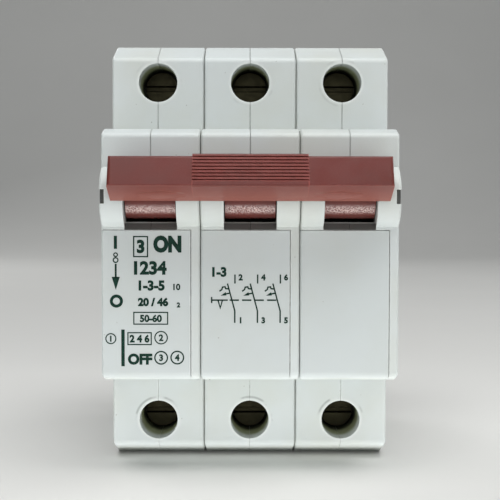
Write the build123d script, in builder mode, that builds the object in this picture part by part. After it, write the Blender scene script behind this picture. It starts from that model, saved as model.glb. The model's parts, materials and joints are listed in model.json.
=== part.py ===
from build123d import *

import math
import os

# Three-pole miniature circuit breaker for a 35 mm mounting rail, in millimetres.
# The front faces -Y and +Z is up. The origin lies on the plane that rests on the rail,
# at the middle of the middle pole and at the height of the rail's centre line.

# The three poles
pole_pitch = 17.5
pole_count = 3
pole_gap = 0.1
side_chamfer = 0.3

# Side view of the housing, measured forwards from the rail and up from its centre line
nose_depth = 60.0
nose_height = 44.8
nose_bevel_depth = 3.0
nose_bevel_rise = 0.95
nose_corner_radius = 1.2
shoulder_depth = 44.0
body_height = 80.0
shoulder_bevel_depth = 7.5
shoulder_bevel_rise = 3.15
shoulder_corner_radius = 1.3
back_bevel_depth = 8.0
back_bevel_rise = 9.0
rear_depth = 5.5

# The rail, the seat that rests on it and the hook that hangs on its upper flange.
# The throats beyond the seat are relieved, so that the flange can tilt into the hook.
rail_width = 35.0
rail_flange = 1.0
rail_play = 0.25
seat_height = 31.0
throat_relief = 0.6
hook_overlap = 1.8
hook_lead_in = 0.9
clip_window_edge = 18.2

# Toggle axis, the humps that flank it and the window between them
axis_setback = 2.4
axis_height = 10.3
hump_radius = 5.7
window_width = 9.2
lip_run = 2.0
lip_edge = 5.8
drum_radius = 3.85
drum_clearance = 0.6
drum_side_clearance = 0.2
axle_radius = 1.5
axle_reach = 2.0
axle_clearance = 0.05

# Lever of each toggle and the tie bar that gangs them. The bar tapers forwards: its
# heel is as thick as it would be at the toggle axis, where it is hollowed out.
on_angle = 22.0
lever_reach = 10.0
lever_thickness = 3.0
lever_width = 6.5
lever_fit = 0.05
bar_width = 48.3
bar_front = 11.3
bar_heel = 3.2
bar_above = 2.85
bar_below = 2.65
bar_end_radius = 0.6
bar_top_radius = 0.45
bar_ridge_radius = 0.2
hump_clearance = 0.3
grip_width = 19.6
grip_rise = 0.3
grip_back = 6.6
grip_corner_radius = 0.4
scoop_middle = 7.7
scoop_radius = 3.2
scoop_sagitta = 0.45
scoop_end_margin = 3.9
scoop_grip_margin = 0.2
rib_count = 8
rib_pitch = 0.61
rib_middle = 0.37
rib_groove_width = 0.28
rib_groove_depth = 0.35

# Front plate let into the nose
plate_thickness = 1.6
plate_right_margin = 1.7
plate_top = 4.42
plate_play = 0.08

# Screw terminals
terminal_inset = 7.8
well_radius = 3.65
well_floor_depth = 31.5
ledge_thickness = 1.0
ledge_sides = 8
head_radius = 3.3
head_height = 2.5
shank_radius = 2.45
shank_play = 0.2
slot_width = 1.0
slot_depth = 1.1
cage_width = 8.6
cage_height = 9.0
cage_depth = 15.0
cage_front_wall = 2.0
cage_wall = 1.4
cage_corner = 0.8
cage_play = 0.2
shank_reach = 2.4
tongue_width = 5.4
tongue_thickness = 1.6
tongue_root = 12.2
tongue_overreach = 3.3
tongue_corner = 0.8
tongue_play = 0.05
entry_width = 7.8
entry_depth = 7.8
entry_mouth = 1.2
entry_flare = 35.0

# Sliding clip that grips the lower flange of the rail
clip_width = 10.2
clip_thickness = 2.75
clip_play = 0.05
clip_overlap = 1.8
clip_nose_bevel = 1.2
clip_corner = 1.5
clip_rear_slot = 6.4
clip_pry_width = 4.0
clip_pry_height = 1.6
clip_pry_margin = 1.6

# Plug in the outer side of each end pole, and the slot in the hump in front of it
plug_radius = 4.2
plug_thickness = 0.85
plug_play = 0.05
notch_height = 2.5

# Derived places
pole_centres = [pole_pitch * (i - (pole_count - 1) / 2) for i in range(pole_count)]
pole_half = (pole_pitch - pole_gap) / 2
body_half_width = pole_centres[-1] + pole_half
half_nose = nose_height / 2
half_body = body_height / 2
half_rail = rail_width / 2
half_seat = seat_height / 2
axis_depth = nose_depth - axis_setback
terminal_height = half_body - terminal_inset
tongue_inner_end = terminal_height - tongue_root
tongue_outer_end = terminal_height + tongue_overreach
cavity_radius = drum_radius + drum_clearance
flange_back = rail_flange + rail_play
head_top_depth = well_floor_depth + head_height
cage_front_depth = well_floor_depth - ledge_thickness - cage_play / 2
cage_back_depth = cage_front_depth - cage_depth
shank_end_depth = cage_front_depth - cage_front_wall - shank_reach
entry_front_depth = shank_end_depth - tongue_thickness
plate_right = pole_half - plate_right_margin
clip_nose = half_rail - clip_overlap
lever_plane = Plane(
    origin=(0, -axis_depth, axis_height),
    x_dir=(0, -math.cos(math.radians(on_angle)), math.sin(math.radians(on_angle))),
    z_dir=(-1, 0, 0),
)
bar_plan = Plane(origin=lever_plane.origin, x_dir=(1, 0, 0), z_dir=-lever_plane.y_dir)


def save(part, name):
    """Write one finished piece as its own file."""
    part.label = name
    export_step(part, f"parts/{name}.step")


def nearest(shapes, *places):
    """The one of the shapes that is closest to each place."""
    return [shapes.sort_by_distance(place)[0] for place in places]


def both_heights(depth, height):
    """The same place above and below the centre line, in the side view."""
    return [(-depth, height), (-depth, -height)]


def housing_blank(low_x, high_x):
    """Solid between two side planes with the whole side outline, humps included."""
    nose_front = half_nose - nose_bevel_rise
    shoulder_front = half_body - shoulder_bevel_rise
    nose_bevel_end = nose_depth - nose_bevel_depth
    shoulder_bevel_end = shoulder_depth - shoulder_bevel_depth
    upper_front = [
        (-nose_depth, nose_front),
        (-nose_bevel_end, half_nose),
        (-shoulder_depth, half_nose),
        (-shoulder_depth, shoulder_front),
        (-shoulder_bevel_end, half_body),
        (-back_bevel_depth, half_body),
        (rear_depth, half_body - back_bevel_rise),
    ]
    hook = [
        (rear_depth, half_rail + hook_lead_in),
        (rear_depth - hook_lead_in, half_rail - hook_overlap),
        (flange_back, half_rail - hook_overlap),
        (flange_back, half_rail + rail_play),
        (-throat_relief, half_rail + rail_play),
    ]
    seat = [(0, half_seat), (0, -half_seat)]
    clip_edge = [(-throat_relief, -clip_window_edge), (rear_depth, -clip_window_edge)]
    lower_front = [(y, -z) for y, z in reversed(upper_front)]
    with BuildPart() as blank:
        with BuildSketch(Plane.YZ.offset(low_x)) as side:
            with BuildLine():
                Polyline(*upper_front, *hook, *seat, *clip_edge, *lower_front, close=True)
            make_face()
            fillet(
                nearest(side.vertices(), *both_heights(nose_depth, nose_front)),
                nose_corner_radius,
            )
            fillet(
                nearest(side.vertices(), *both_heights(shoulder_depth, shoulder_front)),
                shoulder_corner_radius,
            )
            with Locations((-axis_depth, axis_height)):
                Circle(hump_radius)
        extrude(amount=high_x - low_x)
    return blank.part


def side_rim(part, side):
    """Edges of the left or right end face, apart from those around the rail."""
    face = part.faces().filter_by(Plane.YZ).sort_by(Axis.X)[-1 if side > 0 else 0]
    return face.edges().filter_by(lambda edge: edge.center().Y < -1)


def pole_pockets():
    """All that is hollow inside one pole, around its middle plane."""
    lip_low = axis_height - lip_edge
    lip_high = axis_height + lip_edge
    lip_back = nose_depth - lip_run
    cavity_rise = math.sqrt(cavity_radius**2 - (lip_back - axis_depth) ** 2)
    beyond_hump = axis_depth + hump_radius + 1
    cage_z = cage_height / 2 + cage_play
    with BuildPart() as pockets:
        # Window with sloping lips, and the round cavity that the drum turns in
        with BuildSketch(Plane.YZ):
            with BuildLine():
                Polyline(
                    (-beyond_hump, lip_low),
                    (-nose_depth, lip_low),
                    (-lip_back, axis_height - cavity_rise),
                    (-lip_back, axis_height + cavity_rise),
                    (-nose_depth, lip_high),
                    (-beyond_hump, lip_high),
                    close=True,
                )
            make_face()
            with Locations((-axis_depth, axis_height)):
                Circle(cavity_radius)
        extrude(amount=window_width / 2, both=True)
        with BuildSketch(Plane.YZ):
            with Locations((-axis_depth, axis_height)):
                Circle(axle_radius + axle_clearance)
        extrude(amount=window_width / 2 + axle_reach + axle_clearance, both=True)

        # Recess for the front plate, open to the left side and the lower edge
        with BuildSketch(Plane.XZ.offset(nose_depth - plate_thickness)):
            with Locations((plate_right + plate_play, plate_top + plate_play)):
                Rectangle(pole_pitch, nose_height, align=(Align.MAX, Align.MAX))
        extrude(amount=plate_thickness + 1)

        # Screwdriver wells, the ledges under the screw heads and the cage cavities
        with BuildSketch(Plane.XZ.offset(shoulder_depth + 1)):
            with Locations((0, terminal_height), (0, -terminal_height)):
                Circle(well_radius)
        extrude(amount=-(shoulder_depth + 1 - well_floor_depth))
        with BuildSketch(Plane.XZ.offset(well_floor_depth)):
            with Locations((0, terminal_height), (0, -terminal_height)):
                RegularPolygon(shank_radius + shank_play, ledge_sides, major_radius=False)
        extrude(amount=-ledge_thickness - cage_play)
        with BuildSketch(Plane.XZ.offset(well_floor_depth - ledge_thickness)):
            with Locations((0, terminal_height), (0, -terminal_height)):
                Rectangle(cage_width + 2 * cage_play, 2 * cage_z)
        extrude(amount=-(cage_depth + 2 * cage_play))

        # Cable entries with a flared mouth, and the slots that hold the tongues
        entry_middle = entry_front_depth - entry_depth / 2
        for way in (1, -1):
            entry_plane = Plane(
                origin=(0, -entry_middle, way * (terminal_height + cage_z)),
                x_dir=(1, 0, 0),
                z_dir=(0, 0, way),
            )
            tunnel = half_body - terminal_height - cage_z
            with BuildSketch(entry_plane):
                Rectangle(entry_width, entry_depth)
            extrude(amount=tunnel + 1)
            with BuildSketch(entry_plane.offset(tunnel - entry_mouth)):
                Rectangle(entry_width, entry_depth)
            extrude(amount=2 * entry_mouth, taper=-entry_flare)
        with BuildSketch(Plane.XZ.offset(shank_end_depth + tongue_play)):
            slot_length = terminal_height - tongue_inner_end
            for way in (1, -1):
                with Locations((0, way * (tongue_inner_end + slot_length / 2 - tongue_play))):
                    Rectangle(tongue_width + 2 * tongue_play, slot_length)
        extrude(amount=-(tongue_thickness + 2 * tongue_play))

        # Guide of the rail clip, open downwards, and the slot that shows it from behind
        with BuildSketch(Plane.XZ.offset(-flange_back + clip_play)):
            with Locations((0, -clip_window_edge + 1)):
                Rectangle(clip_width + 2 * clip_play, half_body, align=(Align.CENTER, Align.MAX))
        extrude(amount=-(clip_thickness + 2 * clip_play))
        with BuildSketch(Plane.XZ.offset(-flange_back)):
            with Locations((0, -clip_window_edge + 1)):
                Rectangle(clip_rear_slot, half_body, align=(Align.CENTER, Align.MAX))
        extrude(amount=-rear_depth)
    return pockets.part


def end_pockets(side):
    """What is cut only in the outer side of an end pole: -1 for left and 1 for right."""
    with BuildPart() as pockets:
        with BuildSketch(Plane.YZ.offset(side * pole_half)):
            with Locations((-axis_depth, axis_height)):
                Circle(plug_radius)
                Rectangle(2 * hump_radius, notch_height, align=(Align.MAX, Align.CENTER))
        extrude(amount=plug_thickness + plug_play, both=True)
    return pockets.part


def shell(side, hollows, end_hollows=None):
    """One half of a pole's housing: side -1 is the left half and 1 the right."""
    with BuildPart() as half:
        add(housing_blank(min(0, side * pole_half), max(0, side * pole_half)))
        chamfer(side_rim(half, side), side_chamfer)
        add(hollows, mode=Mode.SUBTRACT)
        if end_hollows is not None:
            add(end_hollows, mode=Mode.SUBTRACT)
    return half.part


def front_plate():
    """Plate that carries the markings, cut from the same outline as the nose."""
    with BuildPart() as plate:
        add(housing_blank(-pole_half, pole_half))
        chamfer(side_rim(plate, -1), side_chamfer)
        with BuildSketch(Plane.XZ.offset(nose_depth - plate_thickness)):
            with Locations((plate_right, plate_top)):
                Rectangle(pole_pitch, nose_height, align=(Align.MAX, Align.MAX))
        extrude(amount=plate_thickness + 1, mode=Mode.INTERSECT)
    return plate.part


def toggle():
    """Drum on two stub axles with the lever that reaches into the tie bar."""
    drum_width = window_width - 2 * drum_side_clearance
    with BuildPart() as handle:
        with BuildSketch(lever_plane):
            Circle(drum_radius)
        extrude(amount=drum_width / 2, both=True)
        with BuildSketch(lever_plane):
            Circle(axle_radius)
        extrude(amount=window_width / 2 + axle_reach, both=True)
        with BuildSketch(lever_plane):
            Rectangle(lever_reach, lever_thickness, align=(Align.MIN, Align.CENTER))
        extrude(amount=lever_width / 2, both=True)
    return handle.part


def tie_bar():
    """Bar across all the poles, hollowed to clear the humps, with a ribbed grip."""
    with BuildPart() as bar:
        with BuildSketch(lever_plane) as section:
            with BuildLine():
                Polyline(
                    (0, bar_heel),
                    (bar_front, bar_above),
                    (bar_front, -bar_below),
                    (0, -bar_heel),
                    close=True,
                )
            make_face()
            fillet(nearest(section.vertices(), (bar_front, bar_above)), bar_top_radius)
            fillet(nearest(section.vertices(), (bar_front, -bar_below)), bar_ridge_radius)
            Circle(hump_radius + hump_clearance, mode=Mode.SUBTRACT)
        extrude(amount=bar_width / 2, both=True)
        with BuildSketch(bar_plan) as plan:
            Rectangle(bar_width, bar_front, align=(Align.CENTER, Align.MIN))
            fillet(plan.vertices().group_by(Axis.Y)[-1], bar_end_radius)
        extrude(amount=bar_heel, both=True, mode=Mode.INTERSECT)

        # Shallow finger scoops in the flank on both sides of the grip, deepest midway
        flank = bar_below + (bar_heel - bar_below) * (1 - scoop_middle / bar_front)
        scoop_outer = bar_width / 2 - scoop_end_margin
        scoop_inner = grip_width / 2 + scoop_grip_margin
        scoop_half = (scoop_outer - scoop_inner) / 2
        fade = math.degrees(math.atan2(scoop_sagitta, scoop_half))
        for way in (1, -1):
            with BuildSketch(lever_plane.offset(way * (scoop_outer + scoop_inner) / 2)):
                with Locations((scoop_middle, scoop_sagitta - flank - scoop_radius)):
                    Circle(scoop_radius)
            extrude(amount=scoop_half, both=True, taper=fade, mode=Mode.SUBTRACT)

        # Ribbed grip in the middle
        with BuildSketch(lever_plane) as grip:
            with BuildLine():
                Polyline(
                    (grip_back, bar_above + grip_rise),
                    (bar_front + grip_rise, bar_above + grip_rise),
                    (bar_front + grip_rise, -bar_below - grip_rise),
                    (grip_back, -bar_below - grip_rise),
                    close=True,
                )
            make_face()
            fillet(grip.vertices(), grip_corner_radius)
        extrude(amount=grip_width / 2, both=True)
        with BuildSketch(lever_plane):
            with Locations((bar_front + grip_rise, rib_middle)):
                with GridLocations(0, rib_pitch, 1, rib_count):
                    Rectangle(2 * rib_groove_depth, rib_groove_width)
        extrude(amount=grip_width / 2, both=True, mode=Mode.SUBTRACT)
        for centre in pole_centres:
            with BuildSketch(lever_plane.offset(-centre)):
                Rectangle(
                    lever_reach + lever_fit,
                    lever_thickness + 2 * lever_fit,
                    align=(Align.MIN, Align.CENTER),
                )
            extrude(amount=lever_width / 2 + lever_fit, both=True, mode=Mode.SUBTRACT)
    return bar.part


def terminal_screw():
    """Slotted clamp screw of a terminal at the rail's centre line."""
    with BuildPart() as screw:
        with BuildSketch(Plane.XZ.offset(well_floor_depth)):
            Circle(head_radius)
        extrude(amount=head_height)
        with BuildSketch(Plane.XZ.offset(shank_end_depth)):
            Circle(shank_radius)
        extrude(amount=well_floor_depth - shank_end_depth)
        with BuildSketch(Plane.XZ.offset(head_top_depth)):
            Rectangle(2 * head_radius, slot_width)
        extrude(amount=-slot_depth, mode=Mode.SUBTRACT)
    return screw.part


def clamp_cage():
    """Box clamp that the screw pulls forwards, open above and below."""
    middle = (cage_front_depth + cage_back_depth) / 2
    with BuildPart() as cage:
        with BuildSketch(Plane.XY.offset(-cage_height / 2)) as loop:
            with Locations((0, -middle)):
                Rectangle(cage_width, cage_depth)
            chamfer(loop.vertices(), cage_corner)
            with Locations((0, -middle + (cage_front_wall - cage_wall) / 2)):
                Rectangle(
                    cage_width - 2 * cage_wall,
                    cage_depth - cage_front_wall - cage_wall,
                    mode=Mode.SUBTRACT,
                )
        extrude(amount=cage_height)
        with BuildSketch(Plane.XZ.offset(cage_front_depth)):
            Circle(shank_radius)
        extrude(amount=-cage_front_wall, mode=Mode.SUBTRACT)
    return cage.part


def contact_tongue():
    """Fixed strip that the clamp presses the cable against, for an upper terminal."""
    with BuildPart() as tongue:
        with BuildSketch(Plane.XZ.offset(shank_end_depth)) as strip:
            with Locations((0, tongue_inner_end)):
                Rectangle(
                    tongue_width,
                    tongue_outer_end - tongue_inner_end,
                    align=(Align.CENTER, Align.MIN),
                )
            chamfer(strip.vertices().group_by(Axis.Y)[-1], tongue_corner)
        extrude(amount=-tongue_thickness)
    return tongue.part


def rail_clip():
    """Slide with a bevelled nose behind the rail and a slotted tab to pry it down."""
    with BuildPart() as clip:
        with BuildSketch(Plane.XZ.offset(-flange_back)) as face:
            with Locations((0, -clip_nose)):
                Rectangle(clip_width, half_body - clip_nose, align=(Align.CENTER, Align.MAX))
            chamfer(face.vertices().group_by(Axis.Y)[0], clip_corner)
            with Locations((0, -half_body + clip_pry_margin + clip_pry_height / 2)):
                Rectangle(clip_pry_width, clip_pry_height, mode=Mode.SUBTRACT)
        extrude(amount=-clip_thickness)
        nose_edge = clip.edges().filter_by(Axis.X).group_by(Axis.Z)[-1].sort_by(Axis.Y)[-1]
        chamfer(nose_edge, clip_nose_bevel)
    return clip.part


def coupling_plug(side):
    """Round plug around the toggle axis in the outer side of an end pole."""
    with BuildPart() as plug:
        with BuildSketch(Plane.YZ.offset(side * (body_half_width - plug_thickness))):
            with Locations((-axis_depth, axis_height)):
                Circle(plug_radius - plug_play)
        extrude(amount=side * plug_thickness)
    return plug.part


def main():
    os.makedirs("parts", exist_ok=True)
    hollows = pole_pockets()
    left = shell(-1, hollows)
    right = shell(1, hollows)
    left_end = shell(-1, hollows, end_pockets(-1))
    right_end = shell(1, hollows, end_pockets(1))
    plate = front_plate()
    switch = toggle()
    clip = rail_clip()
    screw = terminal_screw()
    cage = clamp_cage()
    tongue = contact_tongue()
    for number, centre in enumerate(pole_centres, start=1):
        here = Location((centre, 0, 0))
        left_half = left_end if number == 1 else left
        right_half = right_end if number == pole_count else right
        save(left_half.moved(here), f"left_shell_{number}")
        save(right_half.moved(here), f"right_shell_{number}")
        save(plate.moved(here), f"front_plate_{number}")
        save(switch.moved(here), f"toggle_{number}")
        save(clip.moved(here), f"rail_clip_{number}")
        for end, way in (("top", 1), ("bottom", -1)):
            terminal = Location((centre, 0, way * terminal_height))
            save(screw.moved(terminal), f"terminal_screw_{end}_{number}")
            save(cage.moved(terminal), f"clamp_cage_{end}_{number}")
            upright = tongue if way > 0 else tongue.mirror(Plane.XY)
            save(upright.moved(here), f"contact_tongue_{end}_{number}")
    save(tie_bar(), "tie_bar")
    save(coupling_plug(-1), "coupling_plug_left")
    save(coupling_plug(1), "coupling_plug_right")


main()
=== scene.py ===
# %% [markdown]
# # A three-pole miniature circuit breaker
#
# The breaker snaps onto a 35 mm rail and switches three wires at once. Its housing, toggles,
# tie bar, clamps and rail clips arrive here as finished solids at their real size, in one
# fixed frame: the front faces -Y, up is +Z, and the origin lies on the plane that rests on
# the rail. This lesson gives those solids their edges, plastics and metals, adds the print
# and the rivets, and sets up the camera and the light. Lengths are in metres.

# %% Load the solids
import json
import math

import bmesh
import bpy
from mathutils import Matrix, Vector


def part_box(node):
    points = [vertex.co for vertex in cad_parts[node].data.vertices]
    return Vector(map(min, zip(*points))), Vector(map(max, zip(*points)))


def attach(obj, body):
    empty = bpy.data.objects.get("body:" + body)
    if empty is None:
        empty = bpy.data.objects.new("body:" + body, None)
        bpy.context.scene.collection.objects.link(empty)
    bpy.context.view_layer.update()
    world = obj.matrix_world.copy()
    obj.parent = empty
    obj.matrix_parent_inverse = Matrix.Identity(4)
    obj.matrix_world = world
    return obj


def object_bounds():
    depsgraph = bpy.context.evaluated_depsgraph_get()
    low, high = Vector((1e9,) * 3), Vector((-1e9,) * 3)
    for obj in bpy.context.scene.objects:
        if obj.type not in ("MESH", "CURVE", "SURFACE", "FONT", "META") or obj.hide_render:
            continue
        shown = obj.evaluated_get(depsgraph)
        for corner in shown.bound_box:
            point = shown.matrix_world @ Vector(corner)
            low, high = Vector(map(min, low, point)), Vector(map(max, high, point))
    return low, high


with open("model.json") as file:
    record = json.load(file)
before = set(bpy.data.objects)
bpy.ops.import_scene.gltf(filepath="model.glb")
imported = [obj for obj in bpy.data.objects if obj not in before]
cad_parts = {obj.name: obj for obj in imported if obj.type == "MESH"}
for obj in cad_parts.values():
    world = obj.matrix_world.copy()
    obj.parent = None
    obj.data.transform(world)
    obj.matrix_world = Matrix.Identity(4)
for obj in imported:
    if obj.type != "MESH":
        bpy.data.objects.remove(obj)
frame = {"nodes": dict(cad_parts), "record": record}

mm = 0.001
cad_low, cad_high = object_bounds()
print("solids", len(frame["nodes"]), "box in mm", [round(side / mm, 1) for side in cad_high - cad_low])

# %% [markdown]
# ## The camera
#
# A breaker is flat and square, so a lens that is slightly off turns its parallel edges into
# a fan. The camera could be dragged by eye, but here it is worked out: it looks at the middle
# of the label plane from a hand's reach away, two degrees above the horizon. At that distance
# the nose, which stands 16 mm in front of the terminals, looks larger than they do, and that
# is what makes the outline step in above and below.

# %% Camera at the viewing angle
view_target = Vector((0, -50 * mm, 0))
view_distance = 194.46 * mm
view_azimuth = math.radians(-0.215)
view_elevation = math.radians(2.116)
view_roll = math.radians(0.085)

towards_camera = Vector((
    math.sin(view_azimuth) * math.cos(view_elevation),
    -math.cos(view_azimuth) * math.cos(view_elevation),
    math.sin(view_elevation),
))
camera_data = bpy.data.cameras.new("camera")
camera_data.sensor_width = 36
camera_data.lens = 75.476
camera_data.shift_y = 0.0067
camera_data.clip_start = 0.01
camera_data.clip_end = 20
camera = bpy.data.objects.new("camera", camera_data)
bpy.context.scene.collection.objects.link(camera)
look = (-towards_camera).to_track_quat("-Z", "Y").to_matrix().to_4x4()
camera.matrix_world = (
    Matrix.Translation(view_target + towards_camera * view_distance)
    @ look
    @ Matrix.Rotation(view_roll, 4, "Z")
)
bpy.context.scene.camera = camera
bpy.context.scene.view_settings.view_transform = "Standard"
print("camera at", [round(place / mm, 1) for place in camera.location], "mm")

# %% [markdown]
# ## The floor and the light
#
# Grey plastic shows its form only through soft light that changes from face to face. A single
# lamp would leave hard shadows under the tie bar, and an even sky would flatten the bevels.
# So one softbox hangs steeply overhead and picks out what faces up, a flat panel with a
# brighter strip lies on the floor in front and lights what faces down, with a narrow gleam
# along every round piece, and a weak wide one beside the camera fills in.
# Two more stand behind for whoever walks round the breaker, and one that is turned away from
# it lights the wall. The floor is one pale sheet that curves up into a wall far behind, so no
# horizon crosses the picture.

# %% Floor that curves up into a wall
floor_height = cad_low.z
floor_half_width = 5.0
floor_front = -6.0
wall_distance = 1.6
wall_height = 2.2
curve_radius = 0.7
curve_steps = 16

profile = [(floor_front, floor_height)]
for step in range(curve_steps + 1):
    turn = math.pi / 2 * step / curve_steps
    profile.append((
        wall_distance - curve_radius + curve_radius * math.sin(turn),
        floor_height + curve_radius * (1 - math.cos(turn)),
    ))
profile.append((wall_distance, wall_height))
floor_corners = [(side * floor_half_width, y, z) for y, z in profile for side in (-1, 1)]
floor_faces = [(2 * i, 2 * i + 1, 2 * i + 3, 2 * i + 2) for i in range(len(profile) - 1)]
floor_mesh = bpy.data.meshes.new("floor")
floor_mesh.from_pydata(floor_corners, [], floor_faces)
floor_mesh.shade_smooth()
floor = bpy.data.objects.new("floor", floor_mesh)
bpy.context.scene.collection.objects.link(floor)
print("floor strip of", len(floor_faces), "faces at", round(floor_height / mm, 1), "mm")

# %% Softboxes
def softbox(name, place, aim, width, height, watts):
    """A rectangular lamp at a place, turned towards the point it lights."""
    lamp = bpy.data.lights.new(name, "AREA")
    lamp.shape = "RECTANGLE"
    lamp.size = width
    lamp.size_y = height
    lamp.energy = watts
    box = bpy.data.objects.new(name, lamp)
    box.location = place
    box.rotation_mode = "QUATERNION"
    box.rotation_quaternion = (Vector(aim) - Vector(place)).to_track_quat("-Z", "Y")
    box.visible_camera = False
    bpy.context.scene.collection.objects.link(box)
    print("lamp", name, round(watts, 2), "W")


lamp_lift = 0.0005
softbox("top_light", (0.04, -0.21, 0.47), (0, -0.03, 0), 0.50, 0.30, 2.8)
softbox("front_light", (0.05, -0.80, 0.16), (0, -0.05, 0), 0.80, 0.50, 1.85)
for name, front_edge, back_edge, watts in (
    ("floor_panel", -0.120, -0.040, 0.070),
    ("floor_strip", -0.082, -0.068, 0.013),
):
    centre = (front_edge + back_edge) / 2
    place = (0, centre, floor_height + lamp_lift)
    softbox(name, place, (0, centre, 1), 0.30, back_edge - front_edge, watts)
softbox("back_light_left", (-0.55, 0.65, 0.55), (0, 0, 0), 0.60, 0.60, 2.6)
softbox("back_light_right", (0.70, 0.25, 0.35), (0, 0, 0), 0.50, 0.50, 1.4)
softbox("wall_light", (0, 0.40, 0.90), (0, 1.60, 0.54), 1.60, 0.50, 5.0)

world = bpy.data.worlds.new("studio")
world.use_nodes = True
world.node_tree.nodes["Background"].inputs["Color"].default_value = (0.86, 0.93, 1.0, 1)
world.node_tree.nodes["Background"].inputs["Strength"].default_value = 0.08
bpy.context.scene.world = world

# %% [markdown]
# ## Helpers for materials
#
# A material is a small graph, and a graph written out node by node is long to read. Five short
# helpers stand for the steps that come up again and again: add a node with its settings, do a
# sum, lay one colour over another by a mask, carry a value from one range to another, and find
# the place on the object in millimetres. What is the same all over a surface, such as how
# strongly it reflects, stays a plain number on the shader.

# %% Helpers for a graph
def put(tree, kind, inputs=None, **settings):
    """Add one node to a tree, with its settings and its unlinked inputs."""
    made = tree.nodes.new(kind)
    for name, value in settings.items():
        setattr(made, name, value)
    for name, value in (inputs or {}).items():
        made.inputs[name].default_value = value
    return made


def calculate(tree, operation, first, second=None, clamp=False):
    """A math node on two values, each a socket or a number, and its result."""
    made = put(tree, "ShaderNodeMath", operation=operation, use_clamp=clamp)
    for socket, value in zip(made.inputs, (first, second)):
        if isinstance(value, bpy.types.NodeSocket):
            tree.links.new(value, socket)
        elif value is not None:
            socket.default_value = value
    return made.outputs[0]


def over(tree, mask, lower, upper):
    """One colour laid over another by a mask. Each is a socket or a plain value."""
    made = put(tree, "ShaderNodeMix", data_type="RGBA")
    for index, value in ((0, mask), (6, lower), (7, upper)):
        if isinstance(value, bpy.types.NodeSocket):
            tree.links.new(value, made.inputs[index])
        elif index:
            made.inputs[index].default_value = (*value, 1)
        else:
            made.inputs[index].default_value = value
    return made.outputs[2]


def between(tree, value, low, high, to_low=0.0, to_high=1.0):
    """A value carried from one range to another, smoothly and without leaving it."""
    made = put(
        tree,
        "ShaderNodeMapRange",
        {"From Min": low, "From Max": high, "To Min": to_low, "To Max": to_high},
        interpolation_type="SMOOTHSTEP",
    )
    tree.links.new(value, made.inputs["Value"])
    return made.outputs["Result"]


def millimetres(tree):
    """The place on the object, in millimetres."""
    place = put(tree, "ShaderNodeTexCoord")
    larger = put(tree, "ShaderNodeVectorMath", operation="SCALE")
    larger.inputs["Scale"].default_value = 1 / mm
    tree.links.new(place.outputs["Object"], larger.inputs[0])
    return larger.outputs[0]


# %% A group with named sockets
def start_group(name, inputs):
    """An empty shader node group with number inputs, and the node that brings them in."""
    group = bpy.data.node_groups.new(name, "ShaderNodeTree")
    for label, value in inputs.items():
        socket = group.interface.new_socket(label, in_out="INPUT", socket_type="NodeSocketFloat")
        socket.default_value = value
    entry = group.nodes.new("NodeGroupInput")
    return group, entry


def end_group(group, label, value):
    """Give the group its one output."""
    group.interface.new_socket(label, in_out="OUTPUT", socket_type="NodeSocketFloat")
    leave = group.nodes.new("NodeGroupOutput")
    group.links.new(value, leave.inputs[label])
    print("group", group.name, "gives", label)


def use(tree, group, **values):
    """Place a group in a material with its own values, and return its result."""
    made = put(tree, "ShaderNodeGroup", node_tree=group)
    for name, value in values.items():
        made.inputs[name.replace("_", " ").capitalize()].default_value = value
    return made.outputs[0]


# %% [markdown]
# ## Effects that several materials share
#
# All the moulded pieces came out of spark-eroded tools, so all have a fine grain. All have
# been handled, so corners are rubbed and inner corners hold dust. Each effect could be built
# again in every material, but a group is built once and placed with other values, so a change
# to it reaches the whole breaker.
#
# Rubbed corners are found by comparing the normal with one that is averaged over a small
# radius: they differ only near an edge. Dust collects where little sky is seen, which the
# ambient occlusion node measures.

# %% Grain of a moulded surface
grain, entry = start_group("moulded_grain", {"Size": 0.3})
noise = put(grain, "ShaderNodeTexNoise", {"Detail": 3.0, "Roughness": 0.6})
grain.links.new(millimetres(grain), noise.inputs["Vector"])
grain.links.new(calculate(grain, "DIVIDE", 1.0, entry.outputs["Size"]), noise.inputs["Scale"])
end_group(grain, "Height", noise.outputs["Fac"])

# %% Rubbed corners
rubbed, entry = start_group("rubbed_corners", {"Reach": 0.3, "Patchiness": 0.5})
rounded = put(rubbed, "ShaderNodeBevel", samples=4)
rubbed.links.new(calculate(rubbed, "MULTIPLY", entry.outputs["Reach"], mm), rounded.inputs["Radius"])
surface = put(rubbed, "ShaderNodeNewGeometry")
alike = put(rubbed, "ShaderNodeVectorMath", operation="DOT_PRODUCT")
rubbed.links.new(rounded.outputs["Normal"], alike.inputs[0])
rubbed.links.new(surface.outputs["Normal"], alike.inputs[1])
corner = between(rubbed, alike.outputs["Value"], 0.995, 0.86)
patches = put(rubbed, "ShaderNodeTexNoise", {"Scale": 0.9, "Detail": 4.0})
rubbed.links.new(millimetres(rubbed), patches.inputs["Vector"])
patchy = between(rubbed, patches.outputs["Fac"], 0.45, 0.6)
spared = calculate(rubbed, "MULTIPLY", patchy, entry.outputs["Patchiness"])
end_group(rubbed, "Mask", calculate(rubbed, "SUBTRACT", corner, spared, clamp=True))

# %% Dust in the inner corners
dusty, entry = start_group("dusty_corners", {"Reach": 2.0, "Amount": 1.0})
shelter = put(dusty, "ShaderNodeAmbientOcclusion", samples=6)
dusty.links.new(calculate(dusty, "MULTIPLY", entry.outputs["Reach"], mm), shelter.inputs["Distance"])
sheltered = between(dusty, shelter.outputs["AO"], 0.85, 0.25)
clouds = put(dusty, "ShaderNodeTexNoise", {"Scale": 0.7, "Detail": 5.0, "Roughness": 0.65})
dusty.links.new(millimetres(dusty), clouds.inputs["Vector"])
uneven = between(dusty, clouds.outputs["Fac"], 0.25, 0.75, 0.35, 1.0)
lying = calculate(dusty, "MULTIPLY", sheltered, uneven)
end_group(dusty, "Mask", calculate(dusty, "MULTIPLY", lying, entry.outputs["Amount"], clamp=True))

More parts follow.
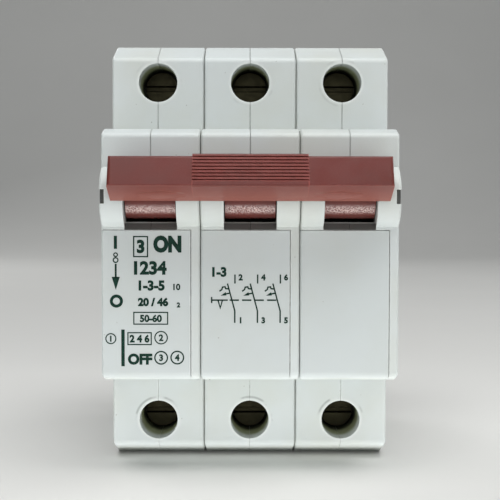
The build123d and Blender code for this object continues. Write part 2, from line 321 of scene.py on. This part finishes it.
# %% Small marks scattered over a surface
marks, entry = start_group("small_marks", {"Spacing": 3.0, "Spread": 0.12})
dots = put(marks, "ShaderNodeTexVoronoi", {"Randomness": 1.0})
place = millimetres(marks)
wobble = put(marks, "ShaderNodeTexNoise", {"Scale": 6.0, "Detail": 2.0})
marks.links.new(place, wobble.inputs["Vector"])
shaken = put(marks, "ShaderNodeVectorMath", {"Scale": 0.35}, operation="SCALE")
marks.links.new(wobble.outputs["Color"], shaken.inputs[0])
moved = put(marks, "ShaderNodeVectorMath", operation="ADD")
marks.links.new(place, moved.inputs[0])
marks.links.new(shaken.outputs[0], moved.inputs[1])
marks.links.new(moved.outputs[0], dots.inputs["Vector"])
marks.links.new(calculate(marks, "DIVIDE", 1.0, entry.outputs["Spacing"]), dots.inputs["Scale"])
size_of_dot = calculate(marks, "MULTIPLY", dots.outputs["Color"], entry.outputs["Spread"])
inside_dot = calculate(marks, "SUBTRACT", size_of_dot, dots.outputs["Distance"])
end_group(marks, "Mask", calculate(marks, "MULTIPLY", inside_dot, 40.0, clamp=True))

# %% [markdown]
# ## Pale grey housing plastic
#
# The housing is a thermoset with a satin surface, a cool grey that has aged a little unevenly.
# It could be one colour with a bump, but on such a plain form the eye finds the small things:
# clouds of a slightly warmer grey, dust in the inner corners, dark specks, and round each
# screw well the ring that many slips of a screwdriver have polished. The mouth of each well is
# painted paler, a painted light where the light reaches in, and further down the plastic is
# painted olive and then black as painted shade. The wells repeat with the poles,
# so they are drawn once and wrapped along X, and mirrored about the middle in Z. The sloping
# lip under each toggle lies in the shadow of the tie bar and is painted dark grey as painted
# shade, and the cavity behind it is painted black as painted shade.
# The marks of wells and windows also end at a depth, or they would show on the back.

# %% Sizes that the finishes share with the solids
pole_pitch = 17.5
well_height = 32.2
well_radius = 3.65
well_floor_depth = 31.5
scuff_inner, scuff_full, scuff_outer = 4.05, 4.30, 4.55
shoulder_depth = 44.0
window_width = 9.2
lip_low, lip_high = 4.5, 5.86
lip_depth = 57.9
seam_half_width = 0.13
seam_low = lip_high + 10
drum_top = 16.0
axle_depth, axle_height = 57.6, 10.3
drum_radius = 3.85
highlight_low, highlight_full, highlight_high = 7.0, 7.9, 8.6
gloss_top = 8.9
cavity_depth = 52.8
crease_height, underside_light_height = 12.05, 9.6
bar_top, bar_face = 16.95, 68.9
grey_plastic = (0.565, 0.605, 0.600)
pale_edge = (0.70, 0.73, 0.71)
seam_dirt = (0.20, 0.22, 0.21)
shelf_dust = (0.33, 0.33, 0.27)
olive_painted_shade = (0.34, 0.37, 0.17)
painted_deep_shade = (0.010, 0.012, 0.007)
lip_painted_shade = (0.150, 0.158, 0.150)
print("wells", 2 * well_radius, "mm across, poles every", pole_pitch, "mm")


# %% Helpers for a material
def new_material(name, **constants):
    """A material with a Principled shader whose plain numbers are set on its own sockets."""
    material = bpy.data.materials.new(name)
    material.use_nodes = True
    tree = material.node_tree
    shader = tree.nodes["Principled BSDF"]
    for label, value in constants.items():
        shader.inputs[label.replace("_", " ")].default_value = value
    return material, tree, shader


def bump_from(tree, shader, height, relief):
    """Let a height from 0 to 1 tilt the shader's normals, as a relief of so many millimetres."""
    bump = put(tree, "ShaderNodeBump", {"Distance": relief * mm, "Strength": 1.0})
    tree.links.new(height, bump.inputs["Height"])
    tree.links.new(bump.outputs["Normal"], shader.inputs["Normal"])


def clouded(tree, colour, other, scale):
    """A colour that drifts towards another one in soft clouds of a given scale."""
    drift = put(tree, "ShaderNodeTexNoise", {"Scale": scale, "Detail": 4.0, "Roughness": 0.55})
    tree.links.new(millimetres(tree), drift.inputs["Vector"])
    return over(tree, between(tree, drift.outputs["Fac"], 0.35, 0.7), colour, other)


# %% Helpers for places on the breaker
def pole_place(tree):
    """Where a point lies: across from the middle of its pole, depth and height, in millimetres."""
    parts = put(tree, "ShaderNodeSeparateXYZ")
    tree.links.new(millimetres(tree), parts.inputs[0])
    across = calculate(tree, "WRAP", parts.outputs["X"], pole_pitch / 2)
    across.node.inputs[2].default_value = -pole_pitch / 2
    depth = calculate(tree, "MULTIPLY", parts.outputs["Y"], -1.0)
    return across, depth, parts.outputs["Z"]


def distance(tree, first, second):
    """The length of the diagonal of two sides at right angles."""
    squares = [calculate(tree, "MULTIPLY", side, side) for side in (first, second)]
    return calculate(tree, "SQRT", calculate(tree, "ADD", *squares))


def distance_to_well(tree, across, height):
    """Distance in millimetres to the axis of the nearest screw well."""
    from_axis = calculate(tree, "SUBTRACT", calculate(tree, "ABSOLUTE", height), well_height)
    return distance(tree, across, from_axis)


def both(tree, first, second):
    """A mask that is white only where both masks are."""
    return calculate(tree, "MULTIPLY", first, second, clamp=True)


def below(tree, value, limit, softness=0.06):
    """A mask of where a value stays under a limit."""
    return between(tree, value, limit - softness, limit + softness, 1.0, 0.0)


# %% Housing
housing_plastic, tree, shader = new_material("housing_plastic", IOR=1.5, Specular_IOR_Level=0.45)
colour = clouded(tree, grey_plastic, (0.545, 0.575, 0.545), 0.06)
colour = over(tree, use(tree, dusty, reach=3.0, amount=0.55), colour, shelf_dust)
colour = over(tree, use(tree, rubbed, reach=0.35, patchiness=0.8), colour, pale_edge)
colour = over(tree, use(tree, marks, spacing=2.3, spread=0.055), colour, (0.16, 0.15, 0.12))

# %% Seams and screw wells of the housing
across, depth, height = pole_place(tree)
off_middle = calculate(tree, "ABSOLUTE", across)
at_middle = below(tree, off_middle, seam_half_width, 0.08)
seam = both(tree, at_middle, between(tree, height, seam_low, seam_low + 1))
colour = over(tree, calculate(tree, "MULTIPLY", seam, 0.45), colour, seam_dirt)
to_well = distance_to_well(tree, across, height)
before_floor = between(tree, depth, well_floor_depth - 2.0, well_floor_depth - 1.0)
# Painted light: the mouth and upper wall of each well are painted paler, where the light reaches in.
rim = both(tree, before_floor, below(tree, to_well, well_radius + 0.35, 0.3))
colour = over(tree, calculate(tree, "MULTIPLY", rim, 0.6), colour, pale_edge)
past_rim = between(tree, to_well, scuff_inner, scuff_full)
scuff_ring = both(tree, past_rim, below(tree, to_well, scuff_outer, 0.15))
slipped = both(tree, scuff_ring, between(tree, use(tree, grain, size=6.0), 0.47, 0.58))
nose_side = both(tree, before_floor, between(tree, height, -well_height - 2.0, -well_height + 1.0))
scuffed = both(tree, both(tree, slipped, nose_side), between(tree, height, 1.0, -1.0, 0.2, 0.65))
colour = over(tree, scuffed, colour, (0.24, 0.26, 0.25))
inside_well = both(tree, before_floor, below(tree, to_well, well_radius + 0.04, 0.03))
uneven_well_shade = between(tree, use(tree, grain, size=1.4), 0.25, 0.75, 0.80, 1.0)
# Painted shade: olive and then black down each well, darker with depth, where the light does not reach.
for start, end, amount, shade in ((2.0, 5.0, 0.9, olive_painted_shade), (6.5, 9.5, 1.0, painted_deep_shade)):
    down_well = between(tree, depth, shoulder_depth - start, shoulder_depth - end, 0.0, amount)
    well_shade_mask = both(tree, both(tree, inside_well, down_well), uneven_well_shade)
    colour = over(tree, well_shade_mask, colour, shade)
print("soot down the wells from", shoulder_depth, "to", well_floor_depth, "mm")

# %% Lips and cavities of the housing
# Painted shade: the sloping lip under each window lies in the shadow of the tie bar and is painted dark grey.
in_window = below(tree, off_middle, window_width / 2 + 0.03)
above_lip = between(tree, height, lip_low - 0.1, lip_low + 0.1)
off_edge = both(tree, above_lip, below(tree, height, lip_high - 0.20))
on_slope = both(tree, off_edge, between(tree, depth, lip_depth - 0.05, lip_depth + 0.05))
colour = over(tree, both(tree, in_window, on_slope), colour, lip_painted_shade)
# Painted shade: the cavity behind the lip, round each drum, is painted black.
round_drum = both(tree, above_lip, below(tree, height, drum_top))
behind_lip = both(tree, between(tree, depth, cavity_depth - 0.8, cavity_depth), below(tree, depth, lip_depth))
in_cavity = both(tree, round_drum, behind_lip)
colour = over(tree, both(tree, in_window, in_cavity), colour, painted_deep_shade)
tree.links.new(colour, shader.inputs["Base Color"])
tree.links.new(between(tree, use(tree, grain, size=5.0), 0.3, 0.7, 0.40, 0.52), shader.inputs["Roughness"])
bump_from(tree, shader, use(tree, grain, size=0.22), 0.02)
print("housing plastic", grey_plastic)

# %% [markdown]
# ## Front plate
#
# The plate that carries the markings was moulded apart, from the same plastic in a polished
# tool, so it is a little smoother and cleaner. It shares the clouds and the specks.

# %% Plate
front_plate_plastic, tree, shader = new_material("front_plate_plastic", IOR=1.5, Specular_IOR_Level=0.45)
colour = clouded(tree, (0.525, 0.565, 0.562), (0.51, 0.545, 0.530), 0.08)
colour = over(tree, use(tree, rubbed, reach=0.3, patchiness=0.8), colour, pale_edge)
colour = over(tree, use(tree, marks, spacing=2.6, spread=0.05), colour, (0.18, 0.17, 0.14))
tree.links.new(colour, shader.inputs["Base Color"])
tree.links.new(between(tree, use(tree, grain, size=4.0), 0.3, 0.7, 0.34, 0.44), shader.inputs["Roughness"])
bump_from(tree, shader, use(tree, grain, size=0.25), 0.010)
print("front plate made")

# %% [markdown]
# ## Red-brown toggle plastic
#
# Toggles and tie bar are a filled thermoplastic, dull where fingers touch it. On the round
# drums its glass fibres lie in a glossy skin, so the light there breaks up into tiny sparkles.
# The sparkle could be painted, but then it would stay when the light moves. A clear coat whose
# weight is a fine speckle makes it where the light is. Along the middle of the drum a speckled
# pale band is painted into the colour as well, a painted highlight where the light from below
# gleams on it. The drum is found by its distance from the axle, so both end where the lever begins.
# Below its crease the bar is painted paler downwards, painted light where the light from below
# falls on its underside, and a pink line along its top edge is a painted highlight.

# %% Toggle plastic
toggle_plastic, tree, shader = new_material(
    "toggle_plastic", IOR=1.5, Specular_IOR_Level=0.32, Coat_IOR=1.75, Coat_Roughness=0.16
)
colour = clouded(tree, (0.130, 0.024, 0.019), (0.112, 0.028, 0.023), 0.10)
colour = over(tree, between(tree, use(tree, grain, size=0.16), 0.45, 0.7), colour, (0.148, 0.033, 0.026))
colour = over(tree, use(tree, dusty, reach=0.6, amount=0.10), colour, (0.20, 0.09, 0.07))
colour = over(tree, use(tree, rubbed, reach=0.30, patchiness=0.3), colour, (0.34, 0.085, 0.070))
colour = over(tree, use(tree, marks, spacing=2.6, spread=0.04), colour, (0.36, 0.20, 0.17))

# %% Drum and bar of the toggles
_, depth, height = pole_place(tree)
behind_axle = calculate(tree, "SUBTRACT", depth, axle_depth)
above_axle = calculate(tree, "SUBTRACT", height, axle_height)
from_axle = distance(tree, behind_axle, above_axle)
on_drum = below(tree, from_axle, drum_radius + 0.15, 0.05)
off_drum = calculate(tree, "SUBTRACT", 1.0, on_drum)
# Painted light: the bar's underside below the crease is painted paler downwards, where the light from below
# falls on it.
paler_down = between(tree, height, crease_height, underside_light_height, 0.25, 0.9)
painted_underside_light = both(tree, below(tree, height, crease_height), paler_down)
colour = over(tree, both(tree, off_drum, painted_underside_light), colour, (0.25, 0.085, 0.066))
# Painted highlight: a pink line along the top edge of the bar's front, where the light from above catches it.
near_top = between(tree, height, bar_top - 0.5, bar_top - 0.2)
painted_top_highlight = both(tree, near_top, between(tree, depth, bar_face - 1.1, bar_face - 0.6))
colour = over(tree, calculate(tree, "MULTIPLY", painted_top_highlight, 0.75), colour, (0.36, 0.14, 0.13))
# Painted highlight: a pale speckled band across the middle of each drum, where the light from below gleams on
# it.
painted_highlight_band = both(tree, between(tree, height, highlight_low, highlight_full), below(tree, height, highlight_high, 0.35))
highlight_grains = between(tree, use(tree, grain, size=0.22), 0.44, 0.56)
painted_highlight = both(tree, both(tree, on_drum, painted_highlight_band), highlight_grains)
colour = over(tree, calculate(tree, "MULTIPLY", painted_highlight, 0.75), colour, (0.62, 0.44, 0.40))
tree.links.new(colour, shader.inputs["Base Color"])
tree.links.new(between(tree, use(tree, grain, size=2.5), 0.3, 0.7, 0.30, 0.40), shader.inputs["Roughness"])
glossy = both(tree, on_drum, below(tree, height, gloss_top, 0.25))
speckle = between(tree, use(tree, grain, size=0.30), 0.42, 0.58, 0.15, 1.0)
tree.links.new(both(tree, glossy, speckle), shader.inputs["Coat Weight"])
bump_from(tree, shader, use(tree, grain, size=0.12), 0.005)
print("toggle plastic made")

# %% [markdown]
# ## Metals and dark plastic
#
# Screws and cages are steel with a yellow passivated zinc coat. The screw heads lie at the bottom
# of their wells, and the coat is painted nearly black towards them as painted shade, darker with
# depth. The tongues are plain brass strip with a drawn grain. Rivets are bare
# zinc. The rail clips and the plugs are a dark grey nylon with a coarser skin.

# %% Metals
screw_head_depth = 33.0
screw_painted_shade = (0.026, 0.024, 0.014)


def coated_metal(name, colour, other, roughness, dirt, with_painted_shade=False):
    """A metal whose coat drifts between two colours, with dirt in its corners, and if asked painted shade
    that darkens it with depth towards the screw heads.
    """
    material, tree, shader = new_material(name, Metallic=1.0)
    shade = clouded(tree, colour, other, 0.6)
    shade = over(tree, use(tree, dusty, reach=1.0, amount=dirt), shade, (0.10, 0.09, 0.07))
    # Painted shade: the coat is painted nearly black towards the screw heads deep in their wells.
    if with_painted_shade:
        _, depth, _ = pole_place(tree)
        painted_shade_mask = between(tree, depth, screw_head_depth - 6, screw_head_depth - 1)
        shade = over(tree, painted_shade_mask, shade, screw_painted_shade)
    tree.links.new(shade, shader.inputs["Base Color"])
    rough = between(tree, use(tree, grain, size=0.7), 0.3, 0.7, roughness - 0.08, roughness + 0.10)
    tree.links.new(rough, shader.inputs["Roughness"])
    bump_from(tree, shader, use(tree, grain, size=0.15), 0.008)
    print("metal", name)
    return material


plated_steel = coated_metal("plated_steel", (0.34, 0.30, 0.16), (0.20, 0.19, 0.11), 0.40, 0.9, with_painted_shade=True)
contact_brass = coated_metal("contact_brass", (0.72, 0.52, 0.26), (0.62, 0.42, 0.20), 0.30, 0.5)
rivet_steel = coated_metal("rivet_steel", (0.60, 0.61, 0.61), (0.50, 0.51, 0.51), 0.38, 0.6)

# %% Dark plastic
dark_plastic, tree, shader = new_material("dark_plastic", IOR=1.5, Specular_IOR_Level=0.45)
colour = clouded(tree, (0.045, 0.048, 0.048), (0.060, 0.063, 0.060), 0.3)
colour = over(tree, use(tree, dusty, reach=1.5, amount=0.6), colour, (0.16, 0.155, 0.13))
colour = over(tree, use(tree, rubbed, reach=0.25, patchiness=0.7), colour, (0.13, 0.13, 0.125))
tree.links.new(colour, shader.inputs["Base Color"])
tree.links.new(between(tree, use(tree, grain, size=1.2), 0.3, 0.7, 0.42, 0.60), shader.inputs["Roughness"])
bump_from(tree, shader, use(tree, grain, size=0.2), 0.03)
print("dark plastic made")

# %% [markdown]
# ## Print and floor
#
# The markings are pad-printed in a dark green ink, so thin that the plate's own gloss shows
# in it, and thinner in places. The floor is painted board, the same pale tone all over.

# %% Ink and paint
green_ink, tree, shader = new_material("green_ink", IOR=1.5, Specular_IOR_Level=0.15)
colour = clouded(tree, (0.002, 0.022, 0.013), (0.005, 0.034, 0.022), 1.2)
colour = over(tree, use(tree, marks, spacing=0.9, spread=0.07), colour, (0.18, 0.24, 0.22))
tree.links.new(colour, shader.inputs["Base Color"])
tree.links.new(between(tree, use(tree, grain, size=0.6), 0.3, 0.7, 0.42, 0.55), shader.inputs["Roughness"])
bump_from(tree, shader, use(tree, grain, size=0.2), 0.006)

floor_paint, tree, shader = new_material("floor_paint", IOR=1.45, Specular_IOR_Level=0.2, Roughness=0.85)
tree.links.new(clouded(tree, (0.66, 0.66, 0.64), (0.68, 0.68, 0.66), 0.004), shader.inputs["Base Color"])
bump_from(tree, shader, use(tree, grain, size=2.0), 0.02)
floor_mesh.materials.append(floor_paint)
print("materials", len(bpy.data.materials))

# %% [markdown]
# ## Dress the solids
#
# A solid from CAD has edges of no width, and such an edge never catches the light. Real
# mouldings have a radius of a tenth or two of a millimetre. Two things could give it: a
# shader that only bends the normals, or a bevel in the mesh. The bevel is used, because it
# also rounds the outline. The solids arrive as loose triangles, so a weld comes first,
# then flat areas are merged into single faces, and then the edges are cut.
# The meshes themselves stay as they came: all of this is done by modifiers.

# %% Rounded edges
finish_of = {
    "housing_plastic": housing_plastic,
    "front_plate_plastic": front_plate_plastic,
    "toggle_plastic": toggle_plastic,
    "plated_steel": plated_steel,
    "contact_brass": contact_brass,
    "dark_plastic": dark_plastic,
}
edge_width = {
    "housing_plastic": 0.12,
    "front_plate_plastic": 0.07,
    "toggle_plastic": 0.10,
    "plated_steel": 0.15,
    "contact_brass": 0.12,
    "dark_plastic": 0.15,
}
weld_gap = 0.002
flat_angle = 0.5
sharp_angle = 14


def merge_flat_areas(piece):
    """Weld the loose triangles of a solid and merge those that lie in one plane."""
    weld = piece.modifiers.new("weld", "WELD")
    weld.merge_threshold = weld_gap * mm
    merge = piece.modifiers.new("flat_areas", "DECIMATE")
    merge.decimate_type = "DISSOLVE"
    merge.angle_limit = math.radians(flat_angle)


def round_edges(piece, width):
    """Round every edge sharper than a rounding's own steps, and smooth what is round."""
    bevel = piece.modifiers.new("rounded_edges", "BEVEL")
    bevel.width = width * mm
    bevel.segments = 2
    bevel.limit_method = "ANGLE"
    bevel.angle_limit = math.radians(sharp_angle)
    bevel.use_clamp_overlap = True
    smooth = piece.modifiers.new("smooth", "WEIGHTED_NORMAL")
    smooth.weight = 80
    smooth.keep_sharp = False


def dress(piece, material):
    """Give a piece one material all over."""
    piece.data.materials.clear()
    piece.data.materials.append(material)


slot_of = {part["node"]: part["material_slot"] for part in frame["record"]["subparts"]}
for name, piece in sorted(frame["nodes"].items()):
    dress(piece, finish_of[slot_of[name]])
    merge_flat_areas(piece)
print("dressed", len(slot_of), "solids")

# %% [markdown]
# ## Rivets through the sides
#
# Tubular rivets hold the poles together, and their heads lie in round recesses so that
# breakers can stand side by side. A recess could be a dark disc, but it is a real cut: a
# hidden cutter takes it out of the outer half shells before their edges are rounded. A
# rivet is a profile turned about its axis, with a rolled rim and a hole in the middle.

# %% Recesses and rivets
rivet_places = [(50.0, 17.5), (50.0, -17.5), (7.0, 27.0), (7.0, -27.0)]
recess_radius = 2.7
recess_depth = 1.0
cutter_reach = 1.0
cut_profile = [
    (0.0, -recess_depth), (recess_radius, -recess_depth),
    (recess_radius, cutter_reach), (0.0, cutter_reach),
]
rivet_profile = [
    (2.45, 0.0), (2.45, 0.28), (2.38, 0.46), (2.18, 0.60), (1.85, 0.68), (1.52, 0.66),
    (1.28, 0.54), (1.16, 0.34), (1.12, 0.10), (0.0, 0.05),
]


def turned(mesh, profile, centre, axis_x, steps=40):
    """Turn a profile of radius and height about an axis along X, into a bmesh."""
    rings = []
    for radius, height in profile:
        x = centre.x + axis_x * height * mm
        if radius == 0:
            rings.append([mesh.verts.new((x, centre.y, centre.z))])
            continue
        ring = []
        for step in range(steps):
            turn = 2 * math.pi * step / steps
            ring.append(mesh.verts.new((
                x,
                centre.y + radius * mm * math.cos(turn),
                centre.z + radius * mm * math.sin(turn),
            )))
        rings.append(ring)
    for low, high in zip(rings, rings[1:]):
        for step in range(steps):
            after = (step + 1) % steps
            if len(high) == 1:
                mesh.faces.new((low[step], low[after], high[0]))
            elif len(low) == 1:
                mesh.faces.new((low[0], high[after], high[step]))
            else:
                mesh.faces.new((low[step], low[after], high[after], high[step]))


def object_from(name, mesh):
    """An object from a bmesh, with its normals turned outwards and its faces smooth."""
    bmesh.ops.recalc_face_normals(mesh, faces=mesh.faces)
    data = bpy.data.meshes.new(name)
    mesh.to_mesh(data)
    mesh.free()
    data.shade_smooth()
    piece = bpy.data.objects.new(name, data)
    bpy.context.scene.collection.objects.link(piece)
    return piece


for side, shell_name in ((-1, "left_shell_1"), (1, "right_shell_3")):
    side_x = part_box(shell_name)[0 if side < 0 else 1].x
    side_name = "left" if side < 0 else "right"
    cutter_mesh = bmesh.new()
    for number, (depth, height) in enumerate(rivet_places, start=1):
        on_side = Vector((side_x, -depth * mm, height * mm))
        turned(cutter_mesh, cut_profile, on_side, side)
        rivet_mesh = bmesh.new()
        in_recess = on_side - Vector((side * recess_depth * mm, 0, 0))
        turned(rivet_mesh, rivet_profile, in_recess, side)
        rivet = object_from(f"rivet_{side_name}_{number}", rivet_mesh)
        dress(rivet, rivet_steel)
        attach(rivet, "housing")
    cutter = object_from(f"recess_cutter_{side_name}", cutter_mesh)
    cutter.hide_render = True
    cutter.hide_viewport = True
    cut = frame["nodes"][shell_name].modifiers.new("recesses", "BOOLEAN")
    cut.operation = "DIFFERENCE"
    cut.solver = "EXACT"
    cut.object = cutter
print("rivets", 2 * len(rivet_places))

for name, piece in sorted(frame["nodes"].items()):
    round_edges(piece, edge_width[slot_of[name]])

# %% [markdown]
# ## Print on the front plates
#
# The left plate carries the switch positions and some numbers, the middle one the standard
# symbol of three ganged contacts. Only plain signs are used: strokes, rings, digits and the
# two words of the switch. The print could be an image, but lines drawn as thin meshes stay
# sharp from any distance. A stroke is a row of flat quads with mitred corners, a letter is
# Blender's own font, narrowed and thickened to look like a condensed face.

# %% Drawing kit, in millimetres on the label plane
label_depth = 60.0
print_height = 0.03
print_sunk = 0.02


class Print:
    """Flat shapes on one plate, gathered as outlines that are later given a thickness."""

    def __init__(self, middle):
        self.middle = middle
        self.mesh = bmesh.new()

    def face(self, points):
        """One flat polygon from points across and up."""
        corners = [
            self.mesh.verts.new(((self.middle + x) * mm, -label_depth * mm, z * mm)) for x, z in points
        ]
        self.mesh.faces.new(corners)

    def stroke(self, points, width):
        """A line of even width through the points."""
        sides = []
        for index, point in enumerate(points):
            here = Vector(point)
            before = Vector(points[max(index - 1, 0)])
            after = Vector(points[min(index + 1, len(points) - 1)])
            into = (here - before).normalized() if index else (after - here).normalized()
            out = (after - here).normalized() if index < len(points) - 1 else into
            across = Vector((-(into + out).y, (into + out).x)).normalized()
            reach = width / 2 / max(across.dot(Vector((-into.y, into.x))), 0.4)
            sides.append((here + across * reach, here - across * reach))
        for (a, b), (c, d) in zip(sides, sides[1:]):
            self.face([a, b, d, c])

    def ring(self, x, z, outer, inner, stretch=1.0, steps=36):
        """A flat ring, taller than wide if stretched."""
        rim = []
        for step in range(steps + 1):
            turn = 2 * math.pi * step / steps
            rim.append((math.cos(turn), math.sin(turn)))
        for (c0, s0), (c1, s1) in zip(rim, rim[1:]):
            self.face([
                (x + outer * c0, z + outer * s0 * stretch),
                (x + inner * c0, z + inner * s0 * stretch),
                (x + inner * c1, z + inner * s1 * stretch),
                (x + outer * c1, z + outer * s1 * stretch),
            ])

    def frame(self, left, right, low, high, width):
        """The outline of a rectangle."""
        inner = width / 2
        l, r, b, t = left + inner, right - inner, low + inner, high - inner
        self.stroke([(l - inner, b), (r + inner, b)], width)
        self.stroke([(l - inner, t), (r + inner, t)], width)
        self.stroke([(l, b + inner), (l, t - inner)], width)
        self.stroke([(r, b + inner), (r, t - inner)], width)

    def words(self, text, left, right, low, high, weight=0.035):
        """Letters fitted into a rectangle."""
        font = bpy.data.curves.new("letters", "FONT")
        font.body = text
        font.offset = weight
        font.resolution_u = 4
        temporary = bpy.data.objects.new("letters", font)
        bpy.context.scene.collection.objects.link(temporary)
        bpy.context.view_layer.update()
        flat = bpy.data.meshes.new_from_object(temporary)
        xs = [vertex.co.x for vertex in flat.vertices]
        ys = [vertex.co.y for vertex in flat.vertices]
        tall = (high - low) / (max(ys) - min(ys))
        wide = min((right - left) / (max(xs) - min(xs)), tall)
        middle_x = (left + right) / 2 - (max(xs) + min(xs)) / 2 * wide
        for polygon in flat.polygons:
            self.face([
                (
                    middle_x + flat.vertices[index].co.x * wide,
                    low + (flat.vertices[index].co.y - min(ys)) * tall,
                )
                for index in polygon.vertices
            ])
        bpy.data.objects.remove(temporary)
        bpy.data.meshes.remove(flat)
        bpy.data.curves.remove(font)

    def finish(self, name):
        """Give all the shapes their thickness and lay them on the plate."""
        bmesh.ops.remove_doubles(self.mesh, verts=self.mesh.verts, dist=0.001 * mm)
        bmesh.ops.translate(self.mesh, verts=self.mesh.verts, vec=(0, print_sunk * mm, 0))
        raised = bmesh.ops.extrude_face_region(self.mesh, geom=self.mesh.faces[:])
        lifted = [item for item in raised["geom"] if isinstance(item, bmesh.types.BMVert)]
        lift = (0, -(print_height + print_sunk) * mm, 0)
        bmesh.ops.translate(self.mesh, verts=lifted, vec=lift)
        piece = object_from(name, self.mesh)
        piece.data.shade_flat()
        dress(piece, green_ink)
        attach(piece, "housing")
        print(name, "has", len(piece.data.polygons), "faces")


# %% Left plate
left = Print(-pole_pitch)
left.stroke([(-6.20, 3.42), (-6.20, 1.13)], 0.56)
left.ring(-6.18, 0.10, 0.42, 0.22)
left.ring(-6.18, -0.85, 0.52, 0.30)
left.stroke([(-6.16, -1.5), (-6.16, -4.0)], 0.34)
left.face([(-6.88, -3.8), (-6.16, -6.1), (-5.44, -3.8)])
left.ring(-6.06, -8.08, 1.16, 0.62)
left.frame(-3.10, -0.45, -0.35, 3.40, 0.22)
left.words("3", -2.45, -1.10, 0.35, 2.75, 0.05)
left.words("ON", 0.45, 5.40, 0.45, 3.50, 0.065)
left.words("1234", -3.05, 2.90, -3.45, -1.00, 0.045)
left.words("1-3-5", -3.05, 3.35, -6.25, -4.40, 0.05)
left.words("10", 3.75, 5.40, -6.15, -5.00, 0.04)
left.words("20 / 46", -3.05, 3.85, -9.00, -7.45, 0.055)
left.words("2", 4.55, 5.20, -9.20, -8.30, 0.05)
left.frame(-3.10, 3.06, -12.25, -9.97, 0.20)
left.words("50-60", -2.05, 2.05, -11.80, -10.45, 0.045)
left.stroke([(-4.92, -13.1), (-4.92, -19.6)], 0.60)
left.ring(-7.06, -14.72, 0.98, 0.78)
left.words("1", -7.25, -6.90, -15.25, -14.20, 0.05)
left.frame(-4.15, 0.16, -15.86, -13.57, 0.20)
left.words("2 4 6", -3.75, -0.25, -15.42, -14.00, 0.05)
left.ring(1.80, -14.54, 1.20, 1.00)
left.words("2", 1.40, 2.20, -15.15, -13.95, 0.04)
left.ring(1.80, -18.10, 1.23, 0.99)
left.words("3", 1.40, 2.20, -18.70, -17.50, 0.045)
left.ring(4.65, -18.06, 1.23, 0.99)
left.words("4", 4.22, 5.05, -18.66, -17.46, 0.045)
left.words("OFF", -4.07, 0.25, -19.35, -17.35, 0.055)
left.finish("print_left")

# %% Middle plate
middle = Print(0)
contact_pitch = 4.0
contact_offset = 1.32
contact_top = -4.95
link_height = -7.89
line = 0.25
middle.words("1-3", -6.87, -4.00, -3.80, -2.04, 0.05)
for number in range(3):
    shift = contact_pitch * (number - 1) + contact_offset
    middle.stroke([(shift, -3.36), (shift, contact_top)], line)
    blade = shift - contact_offset
    middle.stroke([(blade, contact_top), (shift - 0.03, -9.79), (shift - 0.03, -11.9)], line)
    middle.stroke([
        (blade + 0.20, -5.90), (blade - 0.32, -5.86), (blade - 0.42, -5.53), (blade - 0.88, -5.60),
        (blade - 0.98, -6.02), (blade - 1.42, -6.32),
    ], line)
    middle.stroke([(blade + 0.36, -6.66), (blade - 0.30, -6.80)], line)
    middle.face([(blade - 1.20, -7.10), (blade - 0.30, -6.46), (blade - 0.18, -7.06)])
    middle.words(str(2 * number + 2), shift + 0.55, shift + 1.45, -4.42, -3.30, 0.05)
    middle.words(str(2 * number + 1), shift + 0.55, shift + 1.45, -12.0, -10.9, 0.05)
dash, gap = 1.65, 0.55
middle.stroke([(-6.78, link_height), (-3.94, link_height)], line)
for number in range(4):
    start = -3.63 + number * (dash + gap)
    middle.stroke([(start, link_height), (start + dash, link_height)], line)
middle.stroke([(-6.78, -7.32), (-6.78, -8.40)], line)
middle.stroke([(-5.66, link_height), (-5.27, -9.26), (-4.88, link_height)], line)
middle.finish("print_middle")
